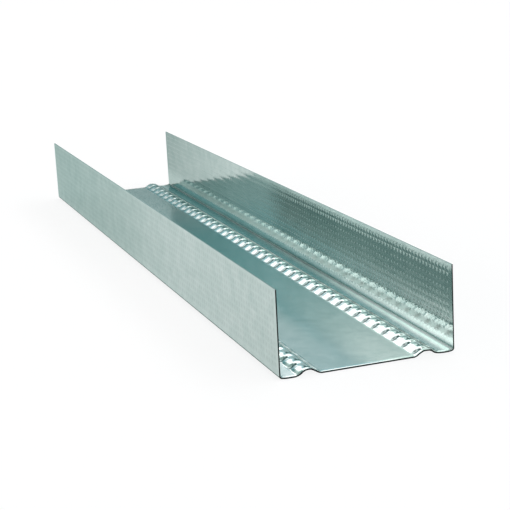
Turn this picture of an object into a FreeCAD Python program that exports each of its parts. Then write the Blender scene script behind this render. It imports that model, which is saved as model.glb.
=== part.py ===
import FreeCAD, Part
import math
import os

# Drywall floor track: a channel that is cold rolled, as one piece, from a strip of galvanised sheet steel.
# X runs along the track, Y across it and Z up, in millimetres.
# The origin is in the middle of the web's underside, which lies on the floor.

# Strip and channel
track_length = 360.0     # from one square-cut end to the other
sheet = 0.48             # thickness of the strip, zinc included
stud_width = 63.5        # depth of the stud that stands in the channel
stud_clearance = 1.6     # spare width between the flanges, both sides together
leg_height = 31.75       # underside of the web to the free edge of a flange
flange_bend = 0.8        # inside radius of the bend between web and flange

# Two stiffening ribs, rolled upwards out of the web, one beside each flange
rib_from_flange = 10.7   # outer face of the flange to the middle of the rib
rib_foot = 8.6           # width of the rib where it leaves the web
rib_crown = 3.0          # width of the rib's flat top
rib_height = 1.65        # rise of the crown above the web
rib_bend = 1.6           # inside radius of the rib's four bends

along = FreeCAD.Vector(1, 0, 0)


def section_point(y, z):
    """A point of the cross-section, in the plane of the track's first cut end."""
    return FreeCAD.Vector(-track_length / 2, y, z)


def strip_middle():
    """Corners of the line midway through the sheet, from one flange edge to the other, with their bends.

    Each corner is where the straight runs on its two sides would meet, and its bend is an inside radius.
    """
    web_middle = sheet / 2
    crown_middle = web_middle + rib_height
    flange_middle = (stud_width + stud_clearance + sheet) / 2
    rib_middle = flange_middle + sheet / 2 - rib_from_flange
    half = [
        (section_point(flange_middle, web_middle), flange_bend),
        (section_point(rib_middle + rib_foot / 2, web_middle), rib_bend),
        (section_point(rib_middle + rib_crown / 2, crown_middle), rib_bend),
        (section_point(rib_middle - rib_crown / 2, crown_middle), rib_bend),
        (section_point(rib_middle - rib_foot / 2, web_middle), rib_bend),
    ]
    other_half = [(section_point(-corner.y, corner.z), bend) for corner, bend in half]
    bent = other_half + half[::-1]
    first_edge = section_point(-flange_middle, leg_height)
    last_edge = section_point(flange_middle, leg_height)
    return first_edge, bent, last_edge


def strip_face_edges(shift):
    """Lines and arcs of the section, shifted from the sheet's middle towards the inside of the channel."""
    first_edge, bent, last_edge = strip_middle()
    corners = [first_edge] + [corner for corner, bend in bent] + [last_edge]
    bends = [bend for corner, bend in bent]
    edges = []
    start = None
    for before, corner, after, bend in zip(corners, corners[1:], corners[2:], bends):
        way_in = (corner - before).normalize()
        way_out = (after - corner).normalize()
        inward_in = along.cross(way_in)
        inward_out = along.cross(way_out)
        turn = math.copysign(1, along.dot(way_in.cross(way_out)))
        radius = bend + sheet / 2
        setback = radius * math.tan(way_in.getAngle(way_out) / 2)
        bend_start = corner - way_in * setback
        bend_end = corner + way_out * setback
        centre = bend_start + inward_in * (turn * radius)
        to_corner = (corner - centre).normalize()
        if start is None:
            start = before + inward_in * shift
        arc_start = bend_start + inward_in * shift
        arc_middle = centre + to_corner * (radius - turn * shift)
        arc_end = bend_end + inward_out * shift
        edges.append(Part.LineSegment(start, arc_start).toShape())
        edges.append(Part.Arc(arc_start, arc_middle, arc_end).toShape())
        start = arc_end
    edges.append(Part.LineSegment(start, last_edge + inward_out * shift).toShape())
    return edges


def cut_line(edge_a, edge_b, end):
    """The flange's cut edge, which joins the strip's two faces."""
    return Part.LineSegment(edge_a.Vertexes[end].Point, edge_b.Vertexes[end].Point).toShape()


def floor_track():
    """The section extruded along the whole track."""
    inside = strip_face_edges(sheet / 2)
    outside = strip_face_edges(-sheet / 2)
    flange_edges = [cut_line(inside[0], outside[0], 0), cut_line(inside[-1], outside[-1], -1)]
    outline = Part.Wire(Part.__sortEdges__(inside + outside + flange_edges))
    return Part.Face(outline).extrude(along * track_length)


os.makedirs("parts", exist_ok=True)
floor_track().exportStep("parts/floor_track.step")
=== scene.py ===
import math
from collections import namedtuple

import bpy
import numpy as np
from mathutils import Matrix, Vector


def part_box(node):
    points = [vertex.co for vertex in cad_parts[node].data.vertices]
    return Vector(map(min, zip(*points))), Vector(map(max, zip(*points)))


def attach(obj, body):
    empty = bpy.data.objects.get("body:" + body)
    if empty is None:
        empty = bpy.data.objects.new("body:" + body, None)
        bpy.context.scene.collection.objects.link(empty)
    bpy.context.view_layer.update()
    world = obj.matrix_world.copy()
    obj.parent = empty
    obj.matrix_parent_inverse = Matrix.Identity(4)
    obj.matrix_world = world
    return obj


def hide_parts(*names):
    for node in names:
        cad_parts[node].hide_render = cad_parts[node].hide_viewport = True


# Drywall floor track: a short length of galvanised channel, lying on its web, on a white studio floor.
# X runs along the track, Y across it and Z up, in metres.
# Near, far, left and right are as the camera sees the track: near is +X and right is +Y.
# "inside" is the sheet's face towards the open channel, and "outside" is its other face.

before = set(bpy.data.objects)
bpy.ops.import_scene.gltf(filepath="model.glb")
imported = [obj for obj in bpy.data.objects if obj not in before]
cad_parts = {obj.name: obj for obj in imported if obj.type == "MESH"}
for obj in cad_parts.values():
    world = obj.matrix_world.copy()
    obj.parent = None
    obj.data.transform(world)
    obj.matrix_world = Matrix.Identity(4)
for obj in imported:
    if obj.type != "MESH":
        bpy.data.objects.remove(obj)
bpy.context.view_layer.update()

# The rolled section, with the sizes of the track's solid
_, node_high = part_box("floor_track")
half_length = node_high.x
half_width = node_high.y
leg_height = node_high.z
sheet = 0.48e-3            # thickness of the strip
flange_bend = 0.8e-3       # inside radius of the bend between web and flange
rib_from_flange = 10.7e-3  # outer face of the flange to the middle of the rib
rib_foot = 8.6e-3          # width of the rib where it leaves the web
rib_crown = 3.0e-3         # width of the rib's flat top
rib_height = 1.65e-3       # rise of the crown above the web
rib_bend = 1.6e-3          # inside radius of the rib's four bends
rib_middle = half_width - rib_from_flange
bend_width = flange_bend + sheet

# Runs of the section, counted from a flange's free edge to the middle of the web
flange_run = 0
bend_run = 1               # the bend at the flange's foot
margin_run = 2             # the strip of web between flange and rib
rib_runs = range(3, 10)    # bends, slopes and crown
slope_runs = (4, 8)
crown_run = 6
web_run = 10

# The relief stamped into the ribs repeats along them, from a place of its own on each rib. The notches of
# one slope lie between those of the other. A mark's place is a share of the pitch, and across is its distance
# from the rib's middle, positive to the right. back and front are its reach towards the far and the near end.
# A mark's last value is painted shade: how dark its colour is painted in and round a notch or pit.
stamp_pitch = 8.77e-3
stamp_phase = {1: 178.2e-3, -1: 172.6e-3}   # right rib, left rib
Mark = namedtuple("Mark", "place across back front half_width rise residue")
stamp_marks = [
    Mark(-0.12, -2.95e-3, 2.10e-3, 1.90e-3, 1.80e-3, 0.0, 0.62),       # painted shade round the left slope's notch
    Mark(-0.10, -2.95e-3, 1.50e-3, 1.00e-3, 1.05e-3, -0.20e-3, 0.50),  # notch in the left slope
    Mark(0.33, -2.95e-3, 2.90e-3, 4.00e-3, 1.70e-3, 0.12e-3, 0.0),     # pillow between those notches
    Mark(-0.05, -1.60e-3, 0.95e-3, 0.80e-3, 0.75e-3, -0.20e-3, 0.0),   # pit at the crown's left edge
    Mark(-0.06, -1.65e-3, 1.20e-3, 0.90e-3, 0.55e-3, 0.0, 0.90),       # painted shade in that pit
    Mark(0.44, 3.00e-3, 3.80e-3, 1.10e-3, 1.70e-3, -0.50e-3, 0.0),     # notch in the right slope
    Mark(0.46, 0.10e-3, 0.95e-3, 0.85e-3, 0.75e-3, -0.08e-3, 0.0),     # pit in the middle of the crown
    Mark(0.44, 0.10e-3, 1.20e-3, 0.90e-3, 0.55e-3, 0.0, 0.70),         # painted shade in that pit
    Mark(-0.28, 0.10e-3, 2.60e-3, 2.60e-3, 2.00e-3, 0.31e-3, 0.0),     # tall pillow on the crown
    Mark(0.28, -0.70e-3, 2.10e-3, 2.10e-3, 1.50e-3, 0.07e-3, 0.0),     # low pillow on the crown
]
mark_shade_gain = 1.6    # how soon a mark's painted shade is full, inwards from its edge
crown_rise = 0.08e-3       # the crown's own slight bulge
crown_rise_reach = 2.4e-3

# The fine dots rolled into the flanges: raised inside and hollow outside
dot_pitch_along = 2.74e-3
dot_pitch_up = 2.5e-3
dot_rows = 11
dot_border = 0.9e-3        # plain strip along the flange's free edge
dot_half_length = 0.75e-3
dot_half_height = 0.65e-3
dot_relief = 0.08e-3
dent_relief = 0.05e-3

# At the cut ends the web's upper face rolls over, and a burr stands on its edge
rollover = 0.20e-3
rollover_reach = 1.15e-3
burr = 0.28e-3
end_steps = (0.0, 0.3e-3, 0.7e-3, 1.15e-3, 2.1e-3)   # the closer stations' distances from a cut end

# Beside the flanges the web lifts a little, and it runs softly into the right foot of the right rib
corner_lift = 0.44e-3
corner_lift_reach = 3.3e-3   # from the flange's outer face
soft_foot = 0.13e-3
soft_foot_reach = 3.2e-3

# The finish, with its painted shade and painted light, changes over the sheet, in values from 0 to 1. A pair
# holds places along the track, or what the comment beside it says, and the values there.

# Scuff: how dull the zinc is
rib_scuff = ((-2.1e-3, -1.35e-3, 0.75e-3, 2.25e-3), (0.0, 0.1, 0.1, 0.8))   # across, from the rib's middle
margin_scuff = 0.6         # on the left margin
crease_scuff = 0.8         # in the bends at the flanges' feet
far_scuff = ((-180e-3, -120e-3, -40e-3), (0.40, 0.32, 0.0))   # on the middle of the web
dot_scuff = 1.0

# Painted shade: how much the zinc's colour is darkened, standing in for shade and dark reflections
stamp_shade_along = ((-180e-3, 20e-3), (0.35, 1.0))         # the share of the marks' painted shade that is left
far_painted_shade = ((-180e-3, -120e-3, -40e-3), (0.24, 0.18, 0.0))   # painted shade on ribs and web, inside, that dims them towards the far end
flange_painted_shade = ((-180e-3, -60e-3, 80e-3, 170e-3), (0.2, 0.0, 0.0, 0.16))   # painted shade between the dots, near both ends
flange_painted_shade_height = ((6e-3, 12e-3), (0.0, 1.0))           # its share, by height
# painted shade in the hollows on the flanges' outside
dent_painted_shade = 0.09
# Painted shade in the flanges' foot bends goes by how far the face is turned upwards. Inside, the far values
# change to the near ones between the two crease places, and a soft band of it on the web fades out there too.
crease_painted_shade = {
    "far inside": ((0.0, 0.4, 0.7, 0.9, 1.0), (0.0, 0.72, 0.85, 0.72, 0.30)),
    "near inside": ((0.0, 0.4, 0.7, 0.9, 1.0), (0.0, 0.42, 0.48, 0.26, 0.08)),
    "outside": ((0.0, 0.3, 0.9, 1.0), (0.0, 0.9, 0.9, 0.0)),
}
crease_places = (40e-3, 140e-3)
# a soft band of painted shade on the web beside each flange's foot
foot_painted_shade = 0.28
foot_painted_shade_reach = 3.4e-3

# Painted light: how much brighter the zinc's colour is painted, standing in for light and reflections
outside_painted_light = ((-50e-3, 30e-3, 80e-3, 160e-3), (0.0, 0.9, 0.9, 0.1))   # on the flanges, outside
margin_painted_light = ((60e-3, 130e-3), (0.0, 0.8))                  # on the margins, inside

# Spacing of the mesh: stations along the track, and steps across each run of the section
stations_per_stamp = {"inside": 24, "outside": 6}
flange_bend_steps = 4
rib_bend_steps = {"inside": 3, "outside": 1}
slope_steps = {"inside": 5, "outside": 3}
crown_steps = {"inside": 6, "outside": 4}
margin_steps = {"inside": 10, "outside": 4}
support = 0.5e-3           # distance from a flat's edge to the row that keeps the bend's shading off the flat
sharp_angle = math.radians(50)
rounding = 1e-6            # two lengths that differ by less are the same
zinc_slot = 0
cut_slot = 1

# Zinc coating. A scale is in features per metre on each axis. Each pair of colours spans the spangle.
# The first pair is the zinc's own colour, the second a lighter one painted in as painted light
base_zinc = ((0.65, 0.725, 0.705), (0.85, 0.885, 0.865))
lit_zinc = ((0.79, 0.84, 0.82), (0.98, 0.99, 0.98))
# colour of the painted shade
painted_shade_colour = (0.012, 0.06, 0.057)
zinc_edge_tint = (0.42, 0.54, 0.52)        # tint of what it mirrors at a grazing angle
# tint of grazing reflections where the painted shade is, nearly black
painted_shade_edge_tint = (0.0, 0.07, 0.065)
mottle_scale = (160, 160, 160)
mottle_detail = 3.0
mottle_share = 0.45                        # shares of the spangle
cloud_scale = (22, 45, 45)
cloud_share = 0.3
crystal_scale = 260
crystal_share = 0.25
grain_scale = (1200, 2500, 2500)
grain_roughness = (0.11, 0.19)
smoother_heights = (2.5e-3, 6e-3)          # between these the roughness falls to the flanges' share of it
flange_roughness_share = 0.5
scuff_roughness = 0.35                     # added where the scuff is 1
waves_scale = (500, 900, 900)              # of a faint unevenness
waves_detail = 1.0
waves_depth = 4e-6

# Sheared edge: bare steel, darker than the zinc, and painted near black as painted shade on the cut faces
cut_scale = (900, 900, 2500)
cut_shade_colours = ((0.006, 0.008, 0.008), (0.03, 0.038, 0.036))
cut_roughness = (0.35, 0.5)

noise_range = (0.3, 0.7)                   # where most of a noise's values lie
whole_range = (0.0, 1.0)

# The studio's dome leans to the track's left. Its light goes by the height in it, from 0 at its rim to 1
dome_strength = 2.5
dome_tilt = math.radians(16.7)
dome_steps = [
    (0.0, (0.275, 0.31, 0.32)),
    (0.19, (0.285, 0.31, 0.318)),
    (0.268, (0.17, 0.30, 0.335)),
    (0.335, (0.12, 0.268, 0.298)),
    (0.36, (0.225, 0.34, 0.37)),
    (0.385, (0.36, 0.385, 0.41)),
    (0.405, (0.70, 0.55, 0.57)),
    (0.45, (1.0, 1.0, 1.0)),
    (0.58, (1.0, 1.0, 1.0)),
    (0.72, (0.14, 0.14, 0.14)),
    (1.0, (0.12, 0.12, 0.12)),
]

# White floor, a little below the web so that their faces don't coincide
floor_half_size = 6.0
floor_drop = 0.2e-3
floor_shade = 0.22
floor_roughness = 0.9
floor_glow = 0.80          # its own light, for rays that see the background itself

# The camera looks along the track from beyond its near end, from a little to the left and above
camera_place = (0.6109, -0.1862, 0.1562)
camera_azimuth = math.radians(71.18)
camera_elevation = math.radians(13.78)
camera_roll = math.radians(-3.07)
camera_sensor = 36         # millimetres, as the lens is
camera_lens = 100.33
camera_clip_start = 0.01


def strip_corners():
    """Corners of the line midway through the sheet, from edge to edge, with their bends' inside radii."""
    web = sheet / 2
    crown = web + rib_height
    flange = half_width - sheet / 2
    half = [
        (flange, web, flange_bend),
        (rib_middle + rib_foot / 2, web, rib_bend),
        (rib_middle + rib_crown / 2, crown, rib_bend),
        (rib_middle - rib_crown / 2, crown, rib_bend),
        (rib_middle - rib_foot / 2, web, rib_bend),
    ]
    corners = [(-y, z, bend) for y, z, bend in half] + half[::-1]
    return [(-flange, leg_height, 0)] + corners + [(flange, leg_height, 0)]


def section_runs():
    """The straight and bent runs of that line, from the left flange to the right one.

    Each has its length and a function from a share of it to (point, normal towards the sheet's inside face).
    The first eleven are numbered as at the top of this file, and the others mirror them.
    """
    corners = [(np.array([y, z]), bend) for y, z, bend in strip_corners()]
    runs = []
    start = corners[0][0]
    for (before, _), (corner, bend), (after, _) in zip(corners, corners[1:], corners[2:]):
        way_in = (corner - before) / np.linalg.norm(corner - before)
        way_out = (after - corner) / np.linalg.norm(after - corner)
        turn = way_in[0] * way_out[1] - way_in[1] * way_out[0]
        angle = math.asin(max(-1.0, min(1.0, turn)))
        radius = bend + sheet / 2
        setback = radius * math.tan(abs(angle) / 2)
        bend_start = corner - way_in * setback
        runs.append(straight_run(start, bend_start))
        runs.append(arc_run(bend_start, way_in, angle, radius))
        start = corner + way_out * setback
    runs.append(straight_run(start, corners[-1][0]))
    return runs


def left_of(direction):
    """The direction, turned a quarter to the left."""
    return np.array([-direction[1], direction[0]])


def straight_run(start, end):
    length = float(np.linalg.norm(end - start))
    normal = left_of((end - start) / length)
    return length, lambda share: (start + (end - start) * share, normal)


def arc_run(start, way_in, angle, radius):
    """A bend that turns by the angle, to the left where it is positive."""
    side = math.copysign(1, angle)
    centre = start + left_of(way_in) * side * radius

    def at(share):
        turned = angle * share
        cos, sin = math.cos(turned), math.sin(turned)
        way = np.array([way_in[0] * cos - way_in[1] * sin, way_in[0] * sin + way_in[1] * cos])
        return centre - left_of(way) * side * radius, left_of(way)

    return abs(angle) * radius, at


def flange_shares(length, downwards):
    """Where a flange's rows lie on its straight run: borders of the dotted rows, with plain strips beyond."""
    top = [0.0] + [dot_border + dot_pitch_up * row for row in range(dot_rows + 1)]
    shares = [distance / length for distance in top] + [1 - support / length, 1.0]
    return shares if downwards else [1 - share for share in reversed(shares)]


def run_shares(index, length, last, face):
    """The shares of a run at which it gets a row of vertices."""
    run = min(index, last - index)
    if run == flange_run:
        return flange_shares(length, index == flange_run)
    if run == web_run:
        return [0.0, support / length, 1 - support / length, 1.0]
    steps = {bend_run: flange_bend_steps, margin_run: margin_steps[face], crown_run: crown_steps[face]}
    for slope_run in slope_runs:
        steps[slope_run] = slope_steps[face]
    count = steps.get(run, rib_bend_steps[face])
    return [step / count for step in range(count + 1)]


def stamped(x, y):
    """Height of the relief and painted shade at places x along a rib, at the distance y from the rib's
    middle.
    """
    height = np.full(len(x), crown_rise * max(0.0, 1 - (y / crown_rise_reach) ** 2) ** 2)
    residue = np.zeros(len(x))
    for mark in stamp_marks:
        along = ((x / stamp_pitch - mark.place + 0.5) % 1 - 0.5) * stamp_pitch
        along = along / np.where(along < 0, mark.back, mark.front)
        within = np.clip(1 - along ** 2 - ((y - mark.across) / mark.half_width) ** 2, 0, None)
        height += mark.rise * within ** 2
        residue = np.maximum(residue, mark.residue * np.clip(mark_shade_gain * within, 0, 1))
    return height, residue


def coarse_stations():
    """Places along the track for flanges and flats: one for each dot's border, and more at the cut ends."""
    plain = half_length - end_steps[-1]
    inner = np.linspace(-plain, plain, round(2 * plain / dot_pitch_along) + 1)
    ends = half_length - np.array(end_steps[:-1])
    return np.concatenate([-ends, inner, ends[::-1]])


def rib_stations(face):
    """Places along the track for the ribs, close enough for the stamped relief."""
    count = round(2 * half_length / stamp_pitch * stations_per_stamp[face])
    return np.linspace(-half_length, half_length, count + 1)


def mean_at(values, corners):
    """The mean of the values at a cell's corners."""
    return sum(values[corner] for corner in corners) / len(corners)


def pairs_round(loop):
    """Each member of a loop with the one after it."""
    return zip(loop, loop[1:] + loop[:1])


class SheetMesh:
    """The vertices and faces of the bent sheet, gathered strip by strip."""

    def __init__(self):
        self.points = []
        self.residue = []
        self.scuff = []
        self.painted_light = []
        self.faces = []
        self.slots = []
        self.smooth = []

    def add_points(self, points, residue=0.0, scuff=0.0, painted_light=0.0):
        """Adds vertices and gives back their numbers. Scuff, painted shade or light has one value for all, or
        one each.
        """
        first = len(self.points)
        self.points.extend(points)
        self.residue.extend(np.broadcast_to(residue, len(points)))
        self.scuff.extend(np.broadcast_to(scuff, len(points)))
        self.painted_light.extend(np.broadcast_to(painted_light, len(points)))
        return np.arange(first, len(self.points))

    def add_face(self, face, slot=zinc_slot, smooth=True):
        self.faces.append(tuple(int(corner) for corner in face))
        self.slots.append(slot)
        self.smooth.append(smooth)

    def flip_faces_from(self, first):
        for i in range(first, len(self.faces)):
            self.faces[i] = self.faces[i][::-1]

    def zip_rows(self, row, keys, next_row, next_keys, slot=zinc_slot):
        """Fills the strip between two rows. Their numbers of vertices may differ, and keys match these up."""
        if len(keys) == len(next_keys) and np.allclose(keys, next_keys):
            for i in range(len(row) - 1):
                self.add_face((row[i], row[i + 1], next_row[i + 1], next_row[i]), slot)
            return
        i = j = 0
        while i + 1 < len(row) or j + 1 < len(next_row):
            if j + 1 == len(next_row) or (i + 1 < len(row) and keys[i + 1] <= next_keys[j + 1]):
                self.add_face((row[i], row[i + 1], next_row[j]), slot)
                i += 1
            else:
                self.add_face((row[i], next_row[j + 1], next_row[j]), slot)
                j += 1

    def cells(self, row, next_row):
        """The corners of the cells between two rows with the same stations, for a dot or a hollow in each.

        The narrow cells at the cut ends are left out, and filled here.
        """
        cells = list(zip(row, row[1:], next_row[1:], next_row))
        plain = len(end_steps) - 1
        for corners in cells[:plain] + cells[-plain:]:
            self.add_face(corners)
        return cells[plain:-plain]

    def dented_strip(self, row, next_row, relief):
        """Fills the strip between two rows of a flange with a shallow hollow over each cell."""
        for corners in self.cells(row, next_row):
            centre = mean_at(self.points, corners)
            painted_light = mean_at(self.painted_light, corners)
            # painted shade at the bottom of each hollow
            tip, = self.add_points([centre + relief], residue=dent_painted_shade, painted_light=painted_light)
            for corner, next_corner in pairs_round(corners):
                self.add_face((corner, next_corner, tip))

    def dotted_strip(self, row, next_row, relief):
        """Fills the strip between two rows of a flange with a small raised dot in each cell."""
        along = np.array([dot_half_length, 0, 0])
        upwards = self.points[next_row[0]] - self.points[row[0]]
        across = upwards / np.linalg.norm(upwards) * dot_half_height
        for corners in self.cells(row, next_row):
            centre = mean_at(self.points, corners)
            outline = [centre - across, centre + along, centre + across, centre - along]
            # the dot's outline takes the painted shade of the flange round it
            residue = mean_at(self.residue, corners)
            dot = tuple(self.add_points(outline, residue=residue))
            tip, = self.add_points([centre + relief], scuff=dot_scuff)
            for (corner, next_corner), (side, next_side) in zip(pairs_round(corners), pairs_round(dot)):
                self.add_face((corner, next_corner, side), smooth=False)
                self.add_face((next_corner, next_side, side), smooth=False)
                self.add_face((side, next_side, tip), smooth=False)


class SectionRow:
    """A row of vertices along the track, at one place of the section, on one face of the sheet."""

    def __init__(self, face, index, last, share, at):
        self.inside = face == "inside"
        self.index = index
        self.share = share
        self.run = min(index, last - index)
        (self.y, self.z), (self.normal_y, self.normal_z) = at(share)
        self.side = int(math.copysign(1, self.y))
        self.from_rib = self.y - self.side * rib_middle
        self.from_flange = max(half_width - abs(self.y), bend_width)
        self.on_rib = self.run > margin_run and abs(self.from_rib) < rib_foot / 2
        meets_rib = index in (margin_run, web_run) and share == 1.0
        self.xs = rib_stations(face) if self.run in rib_runs or meets_rib else coarse_stations()
        self.relief = np.zeros(len(self.xs))
        self.stamp_painted_shade = np.zeros(len(self.xs))
        if self.on_rib:
            self.relief, self.stamp_painted_shade = stamped(self.xs - stamp_phase[self.side], self.from_rib)

    def points(self):
        """The row's points: half a sheet from the middle of the sheet, with the relief and the cut ends."""
        out = (1 if self.inside else -1) * sheet / 2 + self.relief
        if self.inside:
            to_end = half_length - abs(self.xs)
            out -= rollover * self.normal_z * np.clip(1 - to_end / rollover_reach, 0, 1)
            out[[0, -1]] += burr * self.normal_z
        y = self.y + self.normal_y * out
        z = self.z + self.lift() + self.normal_z * out
        return list(np.stack([self.xs, y, z], 1))

    def lift(self):
        """How far the web rises here, at the right rib's soft foot and beside the flanges."""
        from_foot = min(1.0, abs(self.y - rib_middle - rib_foot / 2) / soft_foot_reach)
        lift = soft_foot * math.cos(math.pi / 2 * from_foot) ** 2
        if self.run in (bend_run, margin_run):
            lift += corner_lift * self.normal_z * max(0.0, 1 - self.from_flange / corner_lift_reach) ** 2
        return lift

    # Painted shade, in the stamp's marks, the flanges' foot bends, high on the flanges near the ends, far
    # ribs and web
    def residue(self):
        residue = self.stamp_painted_shade * np.interp(self.xs, *stamp_shade_along)
        if self.run in (bend_run, margin_run):
            residue += self.painted_shade_at_foot()
        # painted shade on the flanges' inside, higher up and near the ends
        if self.run == flange_run and self.inside:
            residue += np.interp(self.xs, *flange_painted_shade) * np.interp(self.z, *flange_painted_shade_height)
        # painted shade dimming ribs and web towards the far end
        if self.run > margin_run and self.inside:
            residue += np.interp(self.xs, *far_painted_shade)
        return residue

    def painted_shade_at_foot(self):
        """The painted shade in the bend at a flange's foot and, inside, in the soft band beside it."""
        in_bend = self.from_flange < bend_width + rounding
        if in_bend and self.inside:
            far = np.interp(self.normal_z, *crease_painted_shade["far inside"])
            near = np.interp(self.normal_z, *crease_painted_shade["near inside"])
            return np.interp(self.xs, crease_places, (far, near))
        if in_bend:
            return np.interp(self.normal_z, *crease_painted_shade["outside"])
        if self.inside:
            band = foot_painted_shade * max(0.0, 1 - (self.from_flange - bend_width) / foot_painted_shade_reach)
            return np.interp(self.xs, crease_places, (band, 0.0))
        return 0.0

    def scuff(self):
        if self.on_rib:
            return float(np.interp(self.from_rib, *rib_scuff))
        if self.run == web_run:
            return np.interp(self.xs, *far_scuff)
        if self.run == bend_run and 0 < self.share < 1:
            return crease_scuff
        if self.run == margin_run and self.side < 0:
            return margin_scuff
        return 0.0

    # Painted light: a brighter colour on the flanges' outside and on the margins, in parts along the track
    def painted_light(self):
        if self.run == flange_run and not self.inside:
            return np.interp(self.xs, *outside_painted_light)
        if self.run == margin_run and self.inside:
            return np.interp(self.xs, *margin_painted_light)
        return 0.0


def side_rows(mesh, face):
    """The rows of one face of the sheet, in their order across the section, with their vertices in the mesh.

    Each also keeps how far across it lies, along the line midway through the sheet.
    """
    runs = section_runs()
    last = len(runs) - 1
    rows = []
    travelled = 0.0
    for index, (length, at) in enumerate(runs):
        for share in run_shares(index, length, last, face):
            if rows and share == 0.0:
                continue
            row = SectionRow(face, index, last, share, at)
            row.vertices = mesh.add_points(row.points(), row.residue(), row.scuff(), row.painted_light())
            row.across = travelled + share * length
            rows.append(row)
        travelled += length
    return rows


def fill_side(mesh, rows, face):
    """Fills the strips of one face of the sheet, with dots or hollows on the flanges."""
    left_flange = [row for row in rows if row.index == flange_run]
    right_flange = [row for row in rows if row.index == rows[-1].index]
    dotted = left_flange[1:dot_rows + 1] + right_flange[-dot_rows - 2:-2]
    for row, next_row in zip(rows, rows[1:]):
        inwards = np.array([0, 1 if row.index == flange_run else -1, 0])
        if row not in dotted:
            mesh.zip_rows(row.vertices, row.xs, next_row.vertices, next_row.xs)
        elif face == "inside":
            mesh.dotted_strip(row.vertices, next_row.vertices, inwards * dot_relief)
        else:
            mesh.dented_strip(row.vertices, next_row.vertices, inwards * dent_relief)


def track_mesh():
    """The whole bent sheet: its two faces, the slit edges of the flanges and the two cut ends."""
    mesh = SheetMesh()
    inside = side_rows(mesh, "inside")
    outside = side_rows(mesh, "outside")
    fill_side(mesh, inside, "inside")
    first = len(mesh.faces)
    fill_side(mesh, outside, "outside")
    mesh.flip_faces_from(first)
    mesh.zip_rows(inside[-1].vertices, inside[-1].xs, outside[-1].vertices, outside[-1].xs)
    mesh.zip_rows(outside[0].vertices, outside[0].xs, inside[0].vertices, inside[0].xs)
    inner_places = [row.across for row in inside]
    outer_places = [row.across for row in outside]
    for end in (0, -1):
        inner = [row.vertices[end] for row in inside]
        outer = [row.vertices[end] for row in outside]
        first = len(mesh.faces)
        mesh.zip_rows(inner, inner_places, outer, outer_places, cut_slot)
        if end == -1:
            mesh.flip_faces_from(first)
    return mesh


def make_object(piece, mesh, materials):
    data = bpy.data.meshes.new(piece)
    data.from_pydata([tuple(point) for point in mesh.points], [], mesh.faces)
    for material in materials:
        data.materials.append(material)
    data.polygons.foreach_set("material_index", mesh.slots)
    data.polygons.foreach_set("use_smooth", mesh.smooth)
    for name, values in (("residue", mesh.residue), ("scuff", mesh.scuff), ("painted_light", mesh.painted_light)):
        stored = data.attributes.new(name, "FLOAT", "POINT")
        stored.data.foreach_set("value", np.array(values, np.float32))
    data.set_sharp_from_angle(angle=sharp_angle)
    data.validate()
    made = bpy.data.objects.new(piece, data)
    bpy.context.scene.collection.objects.link(made)
    return made


def new_material(name):
    material = bpy.data.materials.new(name)
    material.use_nodes = True
    nodes = material.node_tree.nodes
    return material, nodes, material.node_tree.links, nodes["Principled BSDF"]


def noise(nodes, links, scale, detail=2.0):
    """A noise over the object's own coordinates."""
    place = nodes.new("ShaderNodeTexCoord")
    mapping = nodes.new("ShaderNodeMapping")
    mapping.inputs["Scale"].default_value = scale
    texture = nodes.new("ShaderNodeTexNoise")
    texture.inputs["Scale"].default_value = 1.0
    texture.inputs["Detail"].default_value = detail
    links.new(place.outputs["Object"], mapping.inputs["Vector"])
    links.new(mapping.outputs["Vector"], texture.inputs["Vector"])
    return texture.outputs["Fac"]


def crystals(nodes, links):
    """A value from 0 to 1 that changes from one grown crystal of the zinc to the next."""
    place = nodes.new("ShaderNodeTexCoord")
    cells = nodes.new("ShaderNodeTexVoronoi")
    cells.inputs["Scale"].default_value = crystal_scale
    links.new(place.outputs["Object"], cells.inputs["Vector"])
    channels = nodes.new("ShaderNodeSeparateColor")
    links.new(cells.outputs["Color"], channels.inputs["Color"])
    return channels.outputs["Red"]


def mixed(nodes, links, factor, first, second):
    """A colour between two colours, either of which may be a socket."""
    mix = nodes.new("ShaderNodeMix")
    mix.data_type = "RGBA"
    links.new(factor, mix.inputs["Factor"])
    for name, colour in (("A", first), ("B", second)):
        socket = next(socket for socket in mix.inputs if socket.type == "RGBA" and socket.name == name)
        if isinstance(colour, tuple):
            socket.default_value = (*colour, 1)
        else:
            links.new(colour, socket)
    return next(socket for socket in mix.outputs if socket.type == "RGBA")


def spread(nodes, links, value, low, high, from_range=noise_range):
    """A value stretched over a new range."""
    stretch = nodes.new("ShaderNodeMapRange")
    stretch.inputs["From Min"].default_value = from_range[0]
    stretch.inputs["From Max"].default_value = from_range[1]
    stretch.inputs["To Min"].default_value = low
    stretch.inputs["To Max"].default_value = high
    links.new(value, stretch.inputs["Value"])
    return stretch.outputs["Result"]


def attribute(nodes, name):
    """A value stored at the mesh's vertices."""
    stored = nodes.new("ShaderNodeAttribute")
    stored.attribute_name = name
    return stored.outputs["Fac"]


def combined(nodes, links, operation, first, second):
    result = nodes.new("ShaderNodeMath")
    result.operation = operation
    links.new(first, result.inputs[0])
    links.new(second, result.inputs[1])
    return result.outputs[0]


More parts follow.
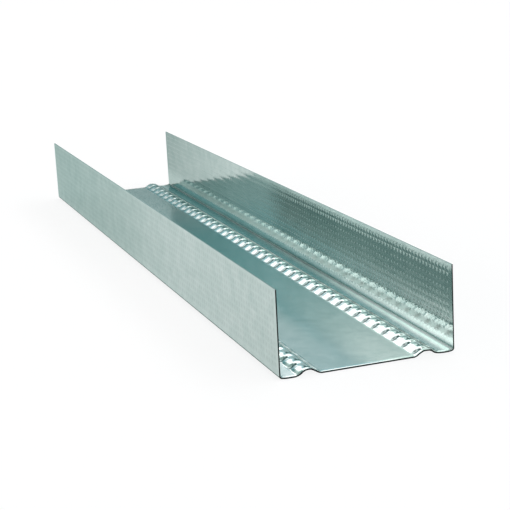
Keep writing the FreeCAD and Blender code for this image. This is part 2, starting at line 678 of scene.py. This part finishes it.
def zinc_colour(nodes, links):
    """Mottled and clouded zinc with faint crystals, with painted light and, over it, painted shade."""
    mottle = spread(nodes, links, noise(nodes, links, mottle_scale, mottle_detail), 0.0, mottle_share)
    clouds = spread(nodes, links, noise(nodes, links, cloud_scale), 0.0, cloud_share)
    grown = spread(nodes, links, crystals(nodes, links), 0.0, crystal_share, whole_range)
    spangle = combined(nodes, links, "ADD", mottle, grown)
    spangle = combined(nodes, links, "ADD", spangle, clouds)
    base = mixed(nodes, links, spangle, *base_zinc)
    painted_light = mixed(nodes, links, spangle, *lit_zinc)
    unshaded = mixed(nodes, links, attribute(nodes, "painted_light"), base, painted_light)
    return mixed(nodes, links, attribute(nodes, "residue"), unshaded, painted_shade_colour)


def zinc_roughness(nodes, links):
    """A fine grain, smoother on the flanges than on the web, and duller where it is scuffed."""
    place = nodes.new("ShaderNodeTexCoord")
    height = nodes.new("ShaderNodeSeparateXYZ")
    links.new(place.outputs["Object"], height.inputs["Vector"])
    share = spread(nodes, links, height.outputs["Z"], 1.0, flange_roughness_share, smoother_heights)
    grain = spread(nodes, links, noise(nodes, links, grain_scale), *grain_roughness)
    plain = combined(nodes, links, "MULTIPLY", grain, share)
    scuffed = spread(nodes, links, attribute(nodes, "scuff"), 0.0, scuff_roughness, whole_range)
    return combined(nodes, links, "ADD", plain, scuffed)


def zinc_material():
    material, nodes, links, shader = new_material("zinc_coating")
    links.new(zinc_colour(nodes, links), shader.inputs["Base Color"])
    shader.inputs["Metallic"].default_value = 1.0
    # grazing reflections darken where the painted shade is
    edge_tint = mixed(nodes, links, attribute(nodes, "residue"), zinc_edge_tint, painted_shade_edge_tint)
    links.new(edge_tint, shader.inputs["Specular Tint"])
    links.new(zinc_roughness(nodes, links), shader.inputs["Roughness"])
    bump = nodes.new("ShaderNodeBump")
    bump.inputs["Distance"].default_value = waves_depth
    links.new(noise(nodes, links, waves_scale, waves_detail), bump.inputs["Height"])
    links.new(bump.outputs["Normal"], shader.inputs["Normal"])
    return material


def cut_edge_material():
    material, nodes, links, shader = new_material("sheared_edge")
    grain = noise(nodes, links, cut_scale)
    # near black: painted shade on the cut faces, over the bare steel's own darker tone
    colour = mixed(nodes, links, spread(nodes, links, grain, 0.0, 1.0), *cut_shade_colours)
    links.new(colour, shader.inputs["Base Color"])
    shader.inputs["Metallic"].default_value = 1.0
    links.new(spread(nodes, links, grain, *cut_roughness), shader.inputs["Roughness"])
    return material


def background_rays(nodes, links):
    """1 for rays from the camera, or by way of a mirror or glass, that see the background itself."""
    path = nodes.new("ShaderNodeLightPath").outputs
    seen = combined(nodes, links, "MAXIMUM", path["Is Camera Ray"], path["Is Glossy Ray"])
    return combined(nodes, links, "MAXIMUM", seen, path["Is Transmission Ray"])


def make_world():
    """A studio dome: pale round the horizon, a band of brighter soft light above it, dim overhead."""
    world = bpy.data.worlds.new("studio")
    bpy.context.scene.world = world
    world.use_nodes = True
    nodes, links = world.node_tree.nodes, world.node_tree.links
    dome = nodes["Background"]
    direction = nodes.new("ShaderNodeTexCoord")
    placed = nodes.new("ShaderNodeVectorMath")
    placed.operation = "DOT_PRODUCT"
    placed.inputs[1].default_value = (0, -math.sin(dome_tilt), math.cos(dome_tilt))
    ramp = nodes.new("ShaderNodeValToRGB")
    steps = ramp.color_ramp.elements
    while len(steps) < len(dome_steps):
        steps.new(0.5)   # moved to its own place below
    for step, (height, colour) in zip(steps, dome_steps):
        step.position = height
        step.color = (*colour, 1)
    dome.inputs["Strength"].default_value = dome_strength
    links.new(direction.outputs["Generated"], placed.inputs[0])
    links.new(placed.outputs["Value"], ramp.inputs[0])
    links.new(ramp.outputs[0], dome.inputs["Color"])


def make_floor():
    """A white floor that keeps the track's shadow."""
    data = bpy.data.meshes.new("floor")
    sides = ((-1, -1), (1, -1), (1, 1), (-1, 1))
    corners = [(x * floor_half_size, y * floor_half_size, -floor_drop) for x, y in sides]
    data.from_pydata(corners, [], [(0, 1, 2, 3)])
    floor = bpy.data.objects.new("floor", data)
    bpy.context.scene.collection.objects.link(floor)
    material, nodes, links, shader = new_material("white_floor")
    shader.inputs["Base Color"].default_value = (floor_shade, floor_shade, floor_shade, 1)
    shader.inputs["Roughness"].default_value = floor_roughness
    shader.inputs["Specular IOR Level"].default_value = 0.0
    shader.inputs["Emission Color"].default_value = (1, 1, 1, 1)
    glow = nodes.new("ShaderNodeMath")
    glow.operation = "MULTIPLY"
    glow.inputs[1].default_value = floor_glow
    links.new(background_rays(nodes, links), glow.inputs[0])
    links.new(glow.outputs[0], shader.inputs["Emission Strength"])
    data.materials.append(material)


def make_camera():
    back = Vector((
        math.sin(camera_azimuth) * math.cos(camera_elevation),
        -math.cos(camera_azimuth) * math.cos(camera_elevation),
        math.sin(camera_elevation),
    ))
    right = Vector((math.cos(camera_azimuth), math.sin(camera_azimuth), 0))
    up = back.cross(right)
    turned_right = right * math.cos(camera_roll) + up * math.sin(camera_roll)
    turned_up = up * math.cos(camera_roll) - right * math.sin(camera_roll)
    data = bpy.data.cameras.new("camera")
    data.sensor_width = camera_sensor
    data.lens = camera_lens
    data.clip_start = camera_clip_start
    camera = bpy.data.objects.new("camera", data)
    rotation = Matrix((turned_right, turned_up, back)).transposed().to_4x4()
    camera.matrix_world = Matrix.Translation(camera_place) @ rotation
    bpy.context.scene.collection.objects.link(camera)
    bpy.context.scene.camera = camera


track = make_object("rolled_track", track_mesh(), [zinc_material(), cut_edge_material()])
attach(track, "root")
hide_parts("floor_track")

make_world()
make_floor()
make_camera()
bpy.context.scene.view_settings.view_transform = "Standard"
